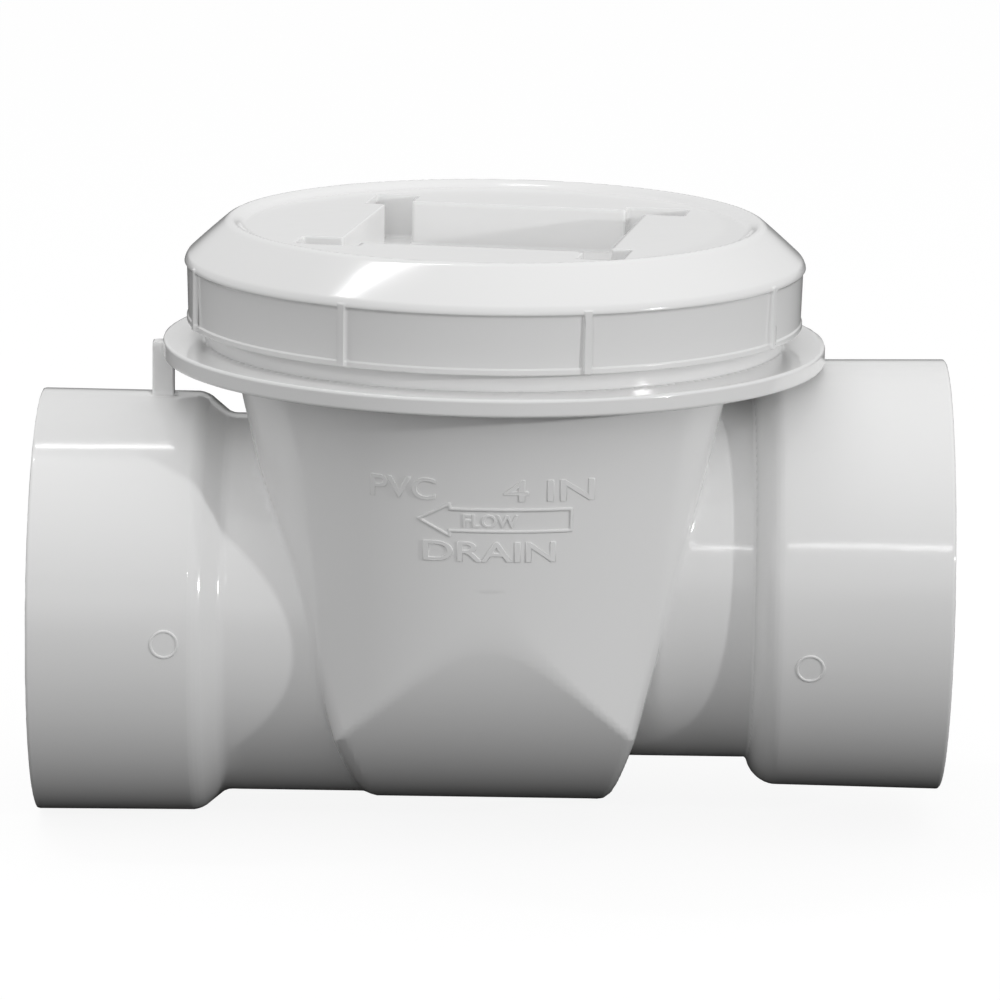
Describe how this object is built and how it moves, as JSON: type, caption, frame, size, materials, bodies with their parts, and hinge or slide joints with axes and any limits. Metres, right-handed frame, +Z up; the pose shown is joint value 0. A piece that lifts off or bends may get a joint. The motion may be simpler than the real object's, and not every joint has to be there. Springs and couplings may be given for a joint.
{
  "type": "check valve",
  "caption": "Backwater check valve for a 4 inch drain: swing flapper in a pot between two solvent-weld hubs, under a screw-on access lid.",
  "frame": {"origin": "on the lid's axis, level with the underside of the outlet hub, the lowest point of the valve", "axes": "+X along the pipe towards the inlet hub, +Z up along the lid's axis; flow runs towards -X"},
  "size_m": [0.272, 0.1984, 0.1819],
  "materials": {
    "white_pvc": "satin",
    "ivory_pvc": "satin",
    "black_rubber": "matte",
    "stainless": "brushed"
  },
  "bodies": {
    "valve": {"valve_body": "white_pvc", "seat_insert": "ivory_pvc", "hinge_pin": "stainless", "pin_clip_front": "stainless", "pin_clip_rear": "stainless"},
    "flapper": {"flapper": "ivory_pvc", "flapper_seal": "black_rubber", "seal_retainer": "stainless", "retainer_screw_1": "stainless", "retainer_screw_2": "stainless", "retainer_screw_3": "stainless", "retainer_screw_4": "stainless"},
    "gasket": {"lid_gasket": "black_rubber"},
    "lid": {"lid": "white_pvc"}
  },
  "joints": [
    {"name": "flapper_hinge", "type": "hinge", "parent": "valve", "child": "flapper", "pos_m": [0.05348, 0, 0.13467], "axis": [0, 1, 0], "range_deg": [0, 65]},
    {"name": "lid_lift", "type": "slide", "parent": "valve", "child": "gasket", "axis": [0, 0, 1], "range_m": [0, 0.024]},
    {"name": "lid_turn", "type": "hinge", "parent": "gasket", "child": "lid", "pos_m": [0, 0, 0.16], "axis": [0, 0, 1], "range_deg": [0, 1440]}
  ],
  "couplings": [
    {"joint": "lid_lift", "follows": "lid_turn", "m_per_rad": 0.00095493}
  ]
}
